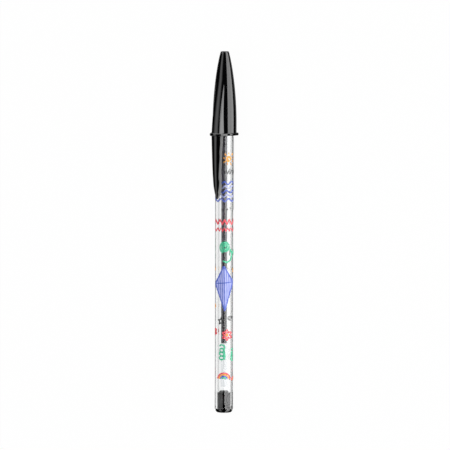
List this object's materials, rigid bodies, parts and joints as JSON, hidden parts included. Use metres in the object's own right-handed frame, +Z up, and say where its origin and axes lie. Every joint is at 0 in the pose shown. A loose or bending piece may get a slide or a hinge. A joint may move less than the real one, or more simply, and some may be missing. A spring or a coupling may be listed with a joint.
{
  "type": "ballpoint pen",
  "caption": "Capped ballpoint pen with a clear hexagonal barrel, an ink tube, a ball tip in a holder, an end plug and a black pull-off cap with a pocket clip.",
  "frame": {"origin": "middle of the pen's bounding box on the surface that it lies on", "axes": "+Y along the pen towards the cap's top, +Z up through the clip, +X across the pen"},
  "size_m": [0.0106, 0.1495, 0.0139],
  "materials": {
    "clear_plastic": "gloss",
    "tube_plastic": "satin",
    "black_plastic": "gloss",
    "ink": "gloss",
    "holder_plastic": "satin",
    "brass": "satin",
    "ball_steel": "polished"
  },
  "bodies": {
    "pen": {"barrel": "clear_plastic", "end_plug": "black_plastic", "ink_tube": "tube_plastic", "ink": "ink", "tip_holder": "holder_plastic", "writing_tip": "brass"},
    "cap": {"cap": "black_plastic"},
    "ball": {"ball": "ball_steel"}
  },
  "joints": [
    {"name": "cap_pull", "type": "slide", "parent": "pen", "child": "cap", "axis": [0, 0.9998, 0.0176], "range_m": [0, 0.06]},
    {"name": "ball_roll", "type": "hinge", "parent": "pen", "child": "ball", "pos_m": [0, 0.06924, 0.00625], "axis": [1, 0, 0], "continuous": true}
  ]
}
